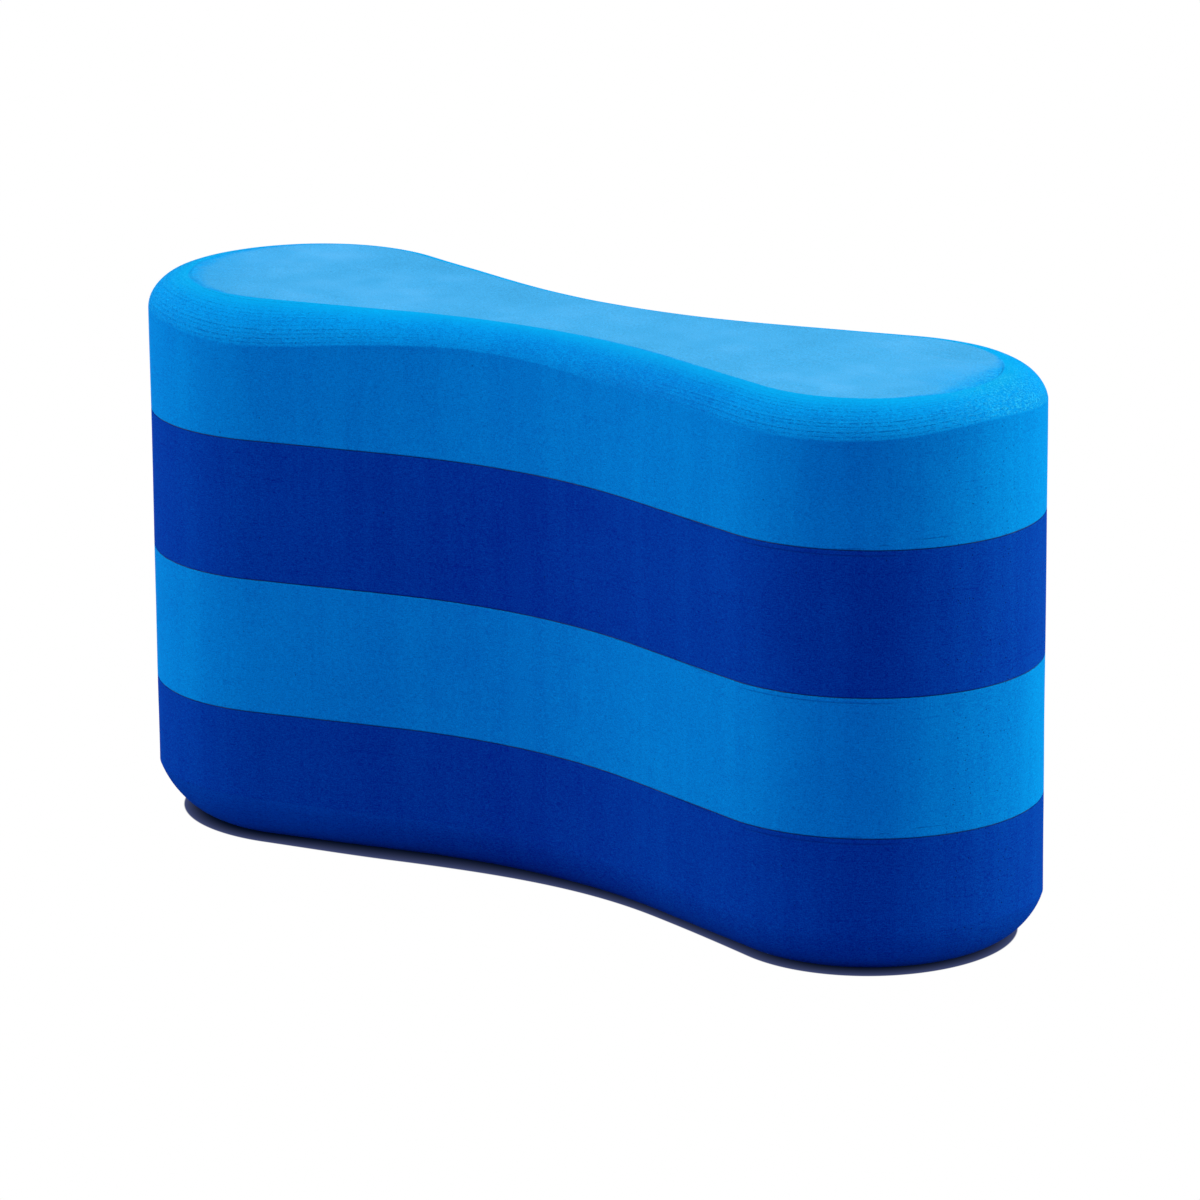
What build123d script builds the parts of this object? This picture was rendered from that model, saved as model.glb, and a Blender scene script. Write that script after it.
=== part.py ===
from build123d import *
import os
from math import atan2, cos, degrees, hypot, radians, sin

# Pull buoy: four sheets of closed-cell foam glued face to face, cut to a figure of eight, with
# the top and bottom edges rounded over. Millimetres. The origin is the centre of the underside,
# +X runs from end to end, +Y from grip face to grip face and +Z up through the stack.

# ---- plan shape -------------------------------------------------------------------------------
LENGTH = 240.0  # from end to end
LOBE_WIDTH = 79.0  # across each lobe, whose end is a half circle
WAIST_WIDTH = 47.6  # across the waist, between the two hollow grip faces
FLANK_LENGTH = 36.0  # flat stretch between each lobe and the hollow of the waist

# ---- foam sheets ------------------------------------------------------------------------------
BOTTOM_THICKNESS = 32.9
LOWER_MIDDLE_THICKNESS = 32.1
UPPER_MIDDLE_THICKNESS = 33.3
TOP_THICKNESS = 31.7

# ---- glue between the sheets ------------------------------------------------------------------
GLUE_THICKNESS = 0.2
GLUE_SETBACK = 0.4  # the film stops this far short of the cut faces

# ---- rounded edges ----------------------------------------------------------------------------
# Inset is how far a rounding reaches in over the flat face, drop or rise how far it reaches along
# the wall, and bulge how far its arc stands out from the straight line between its two ends.
TOP_EDGE_INSET = 9.6
TOP_EDGE_DROP = 7.6
TOP_EDGE_BULGE = 1.5
BOTTOM_EDGE_INSET = 11.2
BOTTOM_EDGE_RISE = 11.5
BOTTOM_EDGE_BULGE = 3.2
CUTTER_MARGIN = 5.0  # how far a rounding cutter reaches outside the foam

# ---- sizes that follow from those -------------------------------------------------------------
LOBE_RADIUS = LOBE_WIDTH / 2
LOBE_CENTRE_X = LENGTH / 2 - LOBE_RADIUS
WAIST_HALF = WAIST_WIDTH / 2
# The flank touches both circles, so its square is what the centres' distance has over the radii.
WAIST_RADIUS = (LOBE_CENTRE_X**2 + WAIST_HALF**2 - LOBE_RADIUS**2 - FLANK_LENGTH**2) / (
    LOBE_WIDTH - WAIST_WIDTH
)
WAIST_CENTRE_Y = WAIST_HALF + WAIST_RADIUS
# Direction, from the lobe's centre, of the point where its half circle runs into the flank.
FLANK_ANGLE = degrees(
    atan2(WAIST_CENTRE_Y, -LOBE_CENTRE_X) - atan2(FLANK_LENGTH, LOBE_RADIUS + WAIST_RADIUS)
)


def point_on(centre, radius, angle):
    """The point of a circle in the direction of an angle in degrees."""
    x, y = centre
    return (x + radius * cos(radians(angle)), y + radius * sin(radians(angle)))


def lobe_arcs(side, radius):
    """The round end of one lobe, on the +X side or the -X side, as two arcs that meet at its tip."""
    centre = (side * LOBE_CENTRE_X, 0)
    tip = 0 if side > 0 else 180
    return [
        CenterArc(centre, radius, tip - FLANK_ANGLE, FLANK_ANGLE),
        CenterArc(centre, radius, tip, FLANK_ANGLE),
    ]


def waist_arc(side, radius):
    """The hollow of one grip face, on the +Y side or the -Y side."""
    centre = (0, side * WAIST_CENTRE_Y)
    start = 360 - FLANK_ANGLE if side > 0 else 180 - FLANK_ANGLE
    return CenterArc(centre, radius, start, 2 * FLANK_ANGLE - 180)


def flank_lines(lobe_radius, waist_radius):
    """The four flat stretches that join the lobes to the hollows."""
    lobe_x, lobe_y = point_on((LOBE_CENTRE_X, 0), lobe_radius, FLANK_ANGLE)
    waist_x, waist_y = point_on((0, WAIST_CENTRE_Y), waist_radius, FLANK_ANGLE + 180)
    return [
        Line((x * lobe_x, y * lobe_y), (x * waist_x, y * waist_y))
        for x in (1, -1)
        for y in (1, -1)
    ]


def outline(inset=0.0):
    """The figure of eight, or one parallel to it and that far inside, as a closed wire."""
    lobe_radius = LOBE_RADIUS - inset
    waist_radius = WAIST_RADIUS + inset
    edges = lobe_arcs(1, lobe_radius) + lobe_arcs(-1, lobe_radius)
    edges += [waist_arc(1, waist_radius), waist_arc(-1, waist_radius)]
    edges += flank_lines(lobe_radius, waist_radius)
    return Wire([edge.edge() for edge in edges])


def slab(bottom_z, thickness, inset=0.0):
    """A flat sheet of the figure of eight, standing on the height given."""
    return Pos(0, 0, bottom_z) * extrude(Face(outline(inset)), thickness)


def rounding_section(face_z, into_foam, inset, reach, bulge):
    """What a rounding takes away, drawn where the outline passes the +X tip.

    into_foam is the way into the foam from the face: -1 down from the top, +1 up from the base.
    """
    tip = LENGTH / 2
    wall_z = face_z + into_foam * reach
    face_x = tip - inset
    chord = hypot(inset, reach)
    crown_x = (tip + face_x) / 2 + bulge * reach / chord
    crown_z = (wall_z + face_z) / 2 - into_foam * bulge * inset / chord
    clear_x = tip + CUTTER_MARGIN
    clear_z = face_z - into_foam * CUTTER_MARGIN
    arc = ThreePointArc((tip, 0, wall_z), (crown_x, 0, crown_z), (face_x, 0, face_z))
    rest = Polyline(
        (face_x, 0, face_z),
        (face_x, 0, clear_z),
        (clear_x, 0, clear_z),
        (clear_x, 0, wall_z),
        (tip, 0, wall_z),
    )
    return Face(Wire([arc.edge(), *rest.edges()]))


def rounding_cutter(face_z, into_foam, inset, reach, bulge):
    """The rounding's section carried all the way round the outline."""
    section = rounding_section(face_z, into_foam, inset, reach, bulge)
    return sweep(section, path=outline())


def stack():
    """Every piece by name, from the bottom up, each standing on the one below."""
    sheets = [
        ("bottom_layer", BOTTOM_THICKNESS, 0.0),
        ("lower_glue_film", GLUE_THICKNESS, GLUE_SETBACK),
        ("lower_middle_layer", LOWER_MIDDLE_THICKNESS, 0.0),
        ("middle_glue_film", GLUE_THICKNESS, GLUE_SETBACK),
        ("upper_middle_layer", UPPER_MIDDLE_THICKNESS, 0.0),
        ("upper_glue_film", GLUE_THICKNESS, GLUE_SETBACK),
        ("top_layer", TOP_THICKNESS, 0.0),
    ]
    pieces = {}
    z = 0.0
    for name, thickness, inset in sheets:
        pieces[name] = slab(z, thickness, inset)
        z += thickness
    pieces["bottom_layer"] -= rounding_cutter(
        0.0, 1, BOTTOM_EDGE_INSET, BOTTOM_EDGE_RISE, BOTTOM_EDGE_BULGE
    )
    pieces["top_layer"] -= rounding_cutter(
        z, -1, TOP_EDGE_INSET, TOP_EDGE_DROP, TOP_EDGE_BULGE
    )
    return pieces


os.makedirs("parts", exist_ok=True)
for node, shape in stack().items():
    export_step(shape, f"parts/{node}.step")
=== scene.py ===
"""A pull buoy of four glued foam sheets: its surfaces, finishes, softboxes, floor and camera.

Metres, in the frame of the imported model: +X end to end, +Y grip face to grip face, +Z up.
"""

import logging
from dataclasses import dataclass, replace
from enum import Enum
from math import cos, pi, radians, sin

import bpy
import numpy as np
from mathutils import Matrix, Vector


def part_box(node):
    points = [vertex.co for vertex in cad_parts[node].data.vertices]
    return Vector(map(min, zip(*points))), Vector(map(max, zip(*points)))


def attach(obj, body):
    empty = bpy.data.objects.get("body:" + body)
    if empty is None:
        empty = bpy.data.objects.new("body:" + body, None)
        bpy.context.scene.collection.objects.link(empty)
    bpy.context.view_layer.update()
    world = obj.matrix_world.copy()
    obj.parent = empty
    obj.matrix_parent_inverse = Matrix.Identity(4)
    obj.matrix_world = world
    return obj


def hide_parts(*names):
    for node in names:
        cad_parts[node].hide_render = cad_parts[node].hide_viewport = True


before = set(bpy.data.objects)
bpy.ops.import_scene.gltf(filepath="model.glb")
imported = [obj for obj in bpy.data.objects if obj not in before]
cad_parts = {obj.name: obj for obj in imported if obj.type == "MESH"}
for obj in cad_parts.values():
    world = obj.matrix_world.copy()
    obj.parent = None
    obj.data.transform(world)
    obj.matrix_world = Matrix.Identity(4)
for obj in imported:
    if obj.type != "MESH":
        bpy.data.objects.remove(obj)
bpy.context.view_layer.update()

LOG = logging.getLogger("pull_buoy")
Colour = tuple[float, float, float]
Socket = bpy.types.NodeSocket
MM = 0.001

# ---- plan shape, which the two boxes of the frame don't give -------------------------------------
WAIST_WIDTH = 0.0476  # across the waist, between the two hollow grip faces
FLANK_LENGTH = 0.036  # flat stretch between each lobe and the hollow of the waist

# ---- rounded edges, as the solids have them --------------------------------------------------------
TOP_EDGE_INSET = 0.0096
TOP_EDGE_DROP = 0.0076
TOP_EDGE_BULGE = 0.0015
BOTTOM_EDGE_INSET = 0.0112
BOTTOM_EDGE_RISE = 0.0115
BOTTOM_EDGE_BULGE = 0.0032

# ---- mesh spacing ----------------------------------------------------------------------------------
COLUMNS_PER_QUARTER = 104
WALL_ROW = 0.001  # height of one row of the walls
ROUNDING_ROW = 0.00016  # height of one row of a rounding, fine enough for the tool's lines
GUARD = 0.00025  # rows this close to a crease keep it crisp
RIM = np.array([[0.4], [1.0]]) * GUARD  # the flat rows just inside the border of a face
FAR = 1.0  # a distance that stands for nowhere near

MIX_NUMBERS = (2, 3)  # the sockets of a Mix node that take its two numbers
MIX_COLOURS = (6, 7)  # and its two colours


class Body(Enum):
    """The one body of the frame that every piece rides on."""

    BUOY = "root"


class Slot(Enum):
    """The record's material slots."""

    LIGHT_FOAM = "light_blue_foam"
    DARK_FOAM = "dark_blue_foam"
    GLUE = "contact_adhesive"


def smooth_step(value: np.ndarray, start: float, end: float) -> np.ndarray:
    """Rises from 0 at start to 1 at end as 3t^2 - 2t^3, where t is the share of the way.

    Args:
        value: where to take it.
        start: where it leaves 0.
        end: where it reaches 1; it may lie below start.

    Returns:
        The value of the step at each place.
    """
    t = np.clip((value - start) / (end - start), 0.0, 1.0)
    return t * t * (3.0 - 2.0 * t)


@dataclass(frozen=True)
class Outline:
    """The figure of eight: two half-round lobes, four flat flanks and two hollow grip faces.

    A place on it is its run: the way along it in metres from the middle of the front grip face,
    towards the +X tip and on round, anticlockwise seen from above.
    """

    length: float
    lobe_width: float
    waist_width: float
    flank_length: float

    @property
    def lobe_radius(self) -> float:
        """Radius of each lobe's round end."""
        return self.lobe_width / 2

    @property
    def whole(self) -> float:
        """Length of the whole outline."""
        return 4 * self.quarter

    @property
    def lobe_x(self) -> float:
        """How far each lobe's centre is from the middle."""
        return self.length / 2 - self.lobe_radius

    @property
    def waist_radius(self) -> float:
        """Radius of each hollow, from the flank that touches both circles."""
        reach = self.lobe_x**2 + (self.waist_width / 2) ** 2
        reach -= self.lobe_radius**2 + self.flank_length**2
        return reach / (self.lobe_width - self.waist_width)

    @property
    def waist_y(self) -> float:
        """How far each hollow's centre is from the middle."""
        return self.waist_width / 2 + self.waist_radius

    @property
    def flank_angle(self) -> float:
        """Direction from a lobe's centre of the point where its round end meets the flank."""
        to_hollow = np.arctan2(self.waist_y, -self.lobe_x)
        return float(to_hollow - np.arctan2(self.flank_length, self.lobe_radius + self.waist_radius))

    @property
    def quarter(self) -> float:
        """Length of a quarter of the outline, from a tip to the middle of a grip face."""
        round_end = self.lobe_radius * self.flank_angle
        hollow = self.waist_radius * (self.flank_angle - pi / 2)
        return round_end + self.flank_length + hollow

    def _quarter_points(self, way: np.ndarray) -> tuple[np.ndarray, np.ndarray]:
        """Points and outward directions of the quarter with x and y above 0.

        A round end turns with the way over the lobe's radius, a flank keeps its direction, and the
        hollow turns back with the way over its own radius.

        Args:
            way: distances from the +X tip.

        Returns:
            Points and unit normals, two columns each.
        """
        angle = self.flank_angle
        round_end = self.lobe_radius * angle
        flank_end = round_end + self.flank_length
        turn = np.minimum(way / self.lobe_radius, angle)
        turn = turn - np.maximum(way - flank_end, 0.0) / self.waist_radius
        normal = np.stack([np.cos(turn), np.sin(turn)], axis=-1)
        on_lobe = np.array([self.lobe_x, 0.0]) + self.lobe_radius * normal
        along = np.array([-np.sin(angle), np.cos(angle)])
        on_flank = on_lobe + along * np.clip(way - round_end, 0.0, self.flank_length)[..., None]
        on_hollow = np.array([0.0, self.waist_y]) - self.waist_radius * normal
        return np.where((way > flank_end)[..., None], on_hollow, on_flank), normal

    def at(self, run: np.ndarray) -> tuple[np.ndarray, np.ndarray]:
        """Points of the outline and the directions straight out of it.

        Args:
            run: places on the outline.

        Returns:
            Points and unit normals, two columns each.
        """
        run = np.mod(run, self.whole)
        part = np.minimum((run // self.quarter).astype(int), 3)
        way = run - part * self.quarter
        way = np.where(part % 2 == 0, self.quarter - way, way)
        points, normals = self._quarter_points(way)
        right, front = part < 2, (part == 0) | (part == 3)
        side = np.stack([np.where(right, 1.0, -1.0), np.where(front, -1.0, 1.0)], axis=-1)
        return points * side, normals * side

    def rings(self, run: np.ndarray, inward: np.ndarray, height: np.ndarray) -> np.ndarray:
        """Rows of points parallel to the outline: each lies inward along the outline's normal.

        Args:
            run: places on the outline, one for each column.
            inward: how far in each point is, rows by columns.
            height: its height, rows by columns.

        Returns:
            The points, rows by columns by three.
        """
        points, normals = self.at(run)
        flat = points[None] - inward[..., None] * normals[None]
        return np.concatenate([flat, height[..., None]], axis=-1)

    def depth(self, x: np.ndarray, y: np.ndarray) -> np.ndarray:
        """How far points inside lie from the outline: the least of the ways to lobe, flank and hollow.

        Args:
            x: places along the length.
            y: places across it.

        Returns:
            The distance of each point, above 0 inside.
        """
        x, y = np.abs(x), np.abs(y)
        angle = self.flank_angle
        to_lobe = self.lobe_radius - np.hypot(x - self.lobe_x, y)
        turn = np.arctan2(y, x - self.lobe_x)
        normal = np.array([cos(angle), sin(angle)])
        start = np.array([self.lobe_x, 0.0]) + self.lobe_radius * normal
        along = (start[0] - x) * normal[1] + (y - start[1]) * normal[0]
        to_flank = (start[0] - x) * normal[0] + (start[1] - y) * normal[1]
        to_hollow = np.hypot(x, y - self.waist_y) - self.waist_radius
        far = np.full_like(x, self.length)
        beside = (along > 0) & (along < self.flank_length)
        ways = [
            np.where(turn <= angle, to_lobe, far),
            np.where(beside, to_flank, far),
            np.where(x < self.waist_y * np.tan(angle - pi / 2), to_hollow, far),
        ]
        return np.minimum.reduce(ways)

    def nearest_run(self, x: np.ndarray, y: np.ndarray) -> np.ndarray:
        """Run of the lobe's round end that each point inside it faces, by its turn about the centre.

        Args:
            x: places along the length.
            y: places across it.

        Returns:
            The runs; a point at the waist is given the run where the round end stops.
        """
        turn = np.arctan2(y * np.sign(x), np.abs(x) - self.lobe_x)
        turn = np.clip(turn, -self.flank_angle, self.flank_angle)
        tip = np.where(x > 0, self.quarter, 3 * self.quarter)
        return tip + self.lobe_radius * turn

    def columns(self) -> np.ndarray:
        """Runs of the mesh's columns, evenly spaced, with one on each tip and each waist middle."""
        count = 4 * COLUMNS_PER_QUARTER
        return np.arange(count) * (self.whole / count)

    def wrap(self, run: np.ndarray) -> np.ndarray:
        """The same places as ways from the front waist's middle, backwards where that is shorter."""
        return np.mod(run + self.whole / 2, self.whole) - self.whole / 2

    def turn(self, run: np.ndarray) -> np.ndarray:
        """The same places as angles, with the outline rolled into a circle."""
        return 2 * pi * run / self.whole


@dataclass(frozen=True)
class Swell:
    """A hump along the outline: height times e to the minus square of way over spread."""

    place: float
    height: float
    spread: float

    def at(self, outline: Outline, run: np.ndarray) -> np.ndarray:
        """Height of the hump at each run."""
        way = outline.wrap(run - self.place)
        return self.height * np.exp(-((way / self.spread) ** 2))


def swells(outline: Outline, run: np.ndarray, humps: tuple[Swell, ...]) -> np.ndarray:
    """The sum of several humps along the outline.

    Args:
        outline: the outline that they run along.
        run: where to take them.
        humps: the humps.

    Returns:
        Their height at each run.
    """
    return sum((hump.at(outline, run) for hump in humps), np.zeros_like(run))


@dataclass(frozen=True)
class Ripple:
    """The slight waviness that the saw leaves: a sum of sine waves round the outline and up it.

    Each wave goes a whole number of times round, so that it closes on itself.
    """

    depth: float = 0.025 * MM
    waves: int = 14
    fewest_turns: int = 3
    most_turns: int = 46
    weakening_turns: float = 6.0
    shortest_rise: float = 0.028
    seed: int = 11

    def at(self, outline: Outline, run: np.ndarray, height: np.ndarray) -> np.ndarray:
        """How far the cut face stands proud.

        Args:
            outline: the outline that it runs along.
            run: places along it, one for each column.
            height: heights, rows by columns.

        Returns:
            The sum of the waves, each with its own turns, rise, phase and share of the depth.
        """
        random = np.random.default_rng(self.seed)
        turns = random.integers(self.fewest_turns, self.most_turns, self.waves)
        rises = random.uniform(-1.0, 1.0, self.waves) / self.shortest_rise
        phases = random.uniform(0.0, 2 * pi, self.waves)
        shares = self.depth / np.sqrt(1.0 + turns / self.weakening_turns)
        around = turns * outline.turn(run)[None, :, None]
        angle = around + 2 * pi * rises * height[..., None] + phases
        return (shares * np.sin(angle)).sum(axis=-1)


@dataclass(frozen=True)
class ToolLines:
    """The fine rows that the rounding tool leaves, side by side along a rounded edge.

    Each row is a narrow groove with a lip above it: e to the minus square of the way from its
    middle over its width, less the lip's share of the same a little further up.
    """

    count: int = 15
    least_spacing: float = 0.9 * MM
    most_spacing: float = 1.35 * MM
    width: float = 0.19 * MM
    lip_way: float = 0.42 * MM
    lip_share: float = 0.45
    depth: float = 0.02 * MM
    sway: float = 0.12 * MM
    fewest_turns: int = 2
    most_turns: int = 9
    least_weight: float = 0.6
    seed: int = 5

    def at(
        self, outline: Outline, run: np.ndarray, arc: np.ndarray, strength: np.ndarray
    ) -> np.ndarray:
        """How deep in a row each point is: 1 in its middle, below 0 on its lip.

        Args:
            outline: the outline that the rows follow.
            run: places along it, one for each column.
            arc: way over the rounding from the wall, rows by columns.
            strength: how strong the lines are, rows by columns.

        Returns:
            The rows' depth, rows by columns.
        """
        random = np.random.default_rng(self.seed)
        spacing = random.uniform(self.least_spacing, self.most_spacing, self.count)
        places = np.cumsum(spacing) - spacing[0] / 2
        turns = random.integers(self.fewest_turns, self.most_turns, places.size)
        phases = random.uniform(0.0, 2 * pi, places.size)
        weights = random.uniform(self.least_weight, 1.0, places.size)
        middle = places + self.sway * np.sin(turns * outline.turn(run)[:, None] + phases)
        way = arc[..., None] - middle[None]
        groove = np.exp(-((way / self.width) ** 2))
        lip = np.exp(-(((way - self.lip_way) / self.width) ** 2))
        return strength * (weights * (groove - self.lip_share * lip)).sum(axis=-1)


@dataclass
class Band:
    """One edge of a sheet's side as rows of points: how far in, and how far from the face.

    arc is the way over it from the wall, and past_face how far past the border of the flat face.
    tooling, scuff and rounded say how much of a row, a torn place and a rounding each point is.
    """

    inward: np.ndarray
    away: np.ndarray
    arc: np.ndarray
    past_face: np.ndarray
    tooling: np.ndarray
    scuff: np.ndarray
    rounded: np.ndarray


@dataclass(frozen=True)
class GluedEdge:
    """An edge at a glue line, broken by a very small radius."""

    radius: float = 0.09 * MM
    rows: int = 3

    def band(self, outline: Outline, run: np.ndarray) -> Band:
        """A quarter circle: in by one minus the cosine and away by one minus the sine of its turn."""
        turn = np.linspace(0.0, pi / 2, self.rows)[:, None] + np.zeros_like(run)[None]
        inward, away = self.radius * (1 - np.cos(turn)), self.radius * (1 - np.sin(turn))
        none = np.zeros_like(turn)
        return Band(inward, away, self.radius * turn, none - FAR, none, none, none)

    def reach(self, outline: Outline, run: np.ndarray) -> np.ndarray:
        """How far the edge takes from the wall at each run."""
        return np.full_like(run, self.radius)


@dataclass(frozen=True)
class RoundedEdge:
    """An outer edge that a tool has rounded over, with the fine rows that it left.

    drop_sway, inset_sway and bulge_sway say where the edge departs from its plain section,
    roundness where its arc gives way to a quarter of an ellipse that meets wall and face
    without a crease, line_strength where the rows show, low_strength where they show only next
    to the wall, and scuffing where the foam is torn.
    """

    inset: float
    drop: float
    bulge: float
    drop_sway: tuple[Swell, ...] = ()
    inset_sway: tuple[Swell, ...] = ()
    bulge_sway: tuple[Swell, ...] = ()
    line_strength: tuple[Swell, ...] = ()
    low_strength: tuple[Swell, ...] = ()
    scuffing: tuple[Swell, ...] = ()
    roundness: tuple[Swell, ...] = ()
    base_roundness: float = 0.25
    base_strength: float = 0.25
    low_reach: float = 5.5 * MM
    low_full: float = 0.6
    wall_end: float = 0.6 * MM
    face_end: float = 0.5 * MM
    crease: float = 0.4 * MM
    lines: ToolLines = ToolLines()

    def reach(self, outline: Outline, run: np.ndarray) -> np.ndarray:
        """How far down the wall the rounding reaches at each run."""
        return self.drop + swells(outline, run, self.drop_sway)

    def band(self, outline: Outline, run: np.ndarray) -> Band:
        """A circle's arc from the wall to the face, less the depth of the tool's rows.

        The chord joins the point on the wall to the point on the face. With half the arc's angle
        h, a point at turn t lies sin t over sin h of half the chord along it, and cos t less cos h
        over sin h of half the chord outside it. The ellipse's point lies in by one minus the
        cosine, and away by one minus the sine, of as much of a quarter turn. A narrow flat rim
        follows on the face.

        Args:
            outline: the outline that the edge follows.
            run: places along it, one for each column.

        Returns:
            The rows of the rounding, from the wall to just inside the face.
        """
        drop = self.reach(outline, run)[None]
        inset = self.inset + swells(outline, run, self.inset_sway)[None]
        bulge = self.bulge + swells(outline, run, self.bulge_sway)[None]
        chord = np.hypot(inset, drop)
        half = 2 * np.arctan(2 * bulge / chord)
        whole_arc = chord * half / np.sin(half)
        rows = int(round(float(whole_arc.max()) / ROUNDING_ROW)) + 1
        turn = np.linspace(-1.0, 1.0, rows)[:, None] * half
        along = chord / 2 * np.sin(turn) / np.sin(half)
        out = chord / 2 * (np.cos(turn) - np.cos(half)) / np.sin(half)
        way_in, way_up = inset / chord, drop / chord
        arc = (turn / half + 1) / 2 * whole_arc
        high = swells(outline, run, self.line_strength)[None]
        low = swells(outline, run, self.low_strength)[None]
        low = low * (1 - smooth_step(arc, self.low_full * self.low_reach, self.low_reach))
        strength = np.clip(self.base_strength + high + low, 0.0, 1.0)
        ends = smooth_step(arc, 0.0, self.wall_end) * smooth_step(whole_arc - arc, 0.0, self.face_end)
        tooling = self.lines.at(outline, run, arc, strength) * ends
        inward = inset / 2 + along * way_in - out * way_up
        away = drop / 2 - along * way_up - out * way_in
        quarter = (turn / half + 1) * pi / 4
        rounder = np.clip(self.base_roundness + swells(outline, run, self.roundness)[None], 0.0, 1.0)
        inward = inward + rounder * (inset * (1 - np.cos(quarter)) - inward)
        away = away + rounder * (drop * (1 - np.sin(quarter)) - away)
        inward = inward + self.lines.depth * tooling
        scuff = swells(outline, run, self.scuffing)[None]
        rim = RIM + np.zeros_like(run)[None]
        none = np.zeros_like(rim)
        pairs = {
            "inward": (inward, inset + rim),
            "away": (away, none),
            "arc": (arc, whole_arc + rim),
            "past_face": (arc - whole_arc, rim),
            "tooling": (tooling, none),
            "scuff": (scuff * ends, scuff + none),
            "rounded": (smooth_step(arc, 0.0, self.crease), none),
        }
        return Band(**{name: np.vstack(pair) for name, pair in pairs.items()})


@dataclass(frozen=True)
class Score:
    """A faint second cut beside a glue line, which leaves it, runs along and fades.

    from_run and to_run are where it starts and ends, settle_run where it has reached its offset.
    """

    from_run: float
    settle_run: float
    to_run: float
    offset: float
    strength: float = 1.0
    fade: float = 8 * MM

    def place(self, run: np.ndarray) -> np.ndarray:
        """How far the cut is from the glue line at each run."""
        return self.offset * smooth_step(run, self.from_run, self.settle_run)

    def weight(self, run: np.ndarray) -> np.ndarray:
        """How strong the cut is at each run: it rises and fades over the same way."""
        rise = smooth_step(run, self.from_run, self.from_run + self.fade)
        return self.strength * rise * smooth_step(run, self.to_run, self.to_run - self.fade)


@dataclass(frozen=True)
class Grain:
    """Noise of a finish, and what the finish makes of it.

    size is how wide its grains are in every direction. Where up gives their height, they follow
    the outline instead, and size is how long they are along it. swing is how far the noise moves a
    tone or a distance either way. A mask cut from it leaves 0 at start and reaches 1 at end.
    """

    size: float
    up: float | None = None
    detail: float = 2.0
    roughness: float = 0.5
    swing: float = 0.0
    start: float = 0.0
    end: float = 1.0


@dataclass(frozen=True)
class Dots:
    """Scattered round dots: at most one in a cell of the spacing, in that share of the cells.

    A dot fades out between the inner and the outer share of its radius.
    """

    spacing: float
    radius: float
    share: float
    outer: float = 1.15
    inner: float = 0.65


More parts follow.
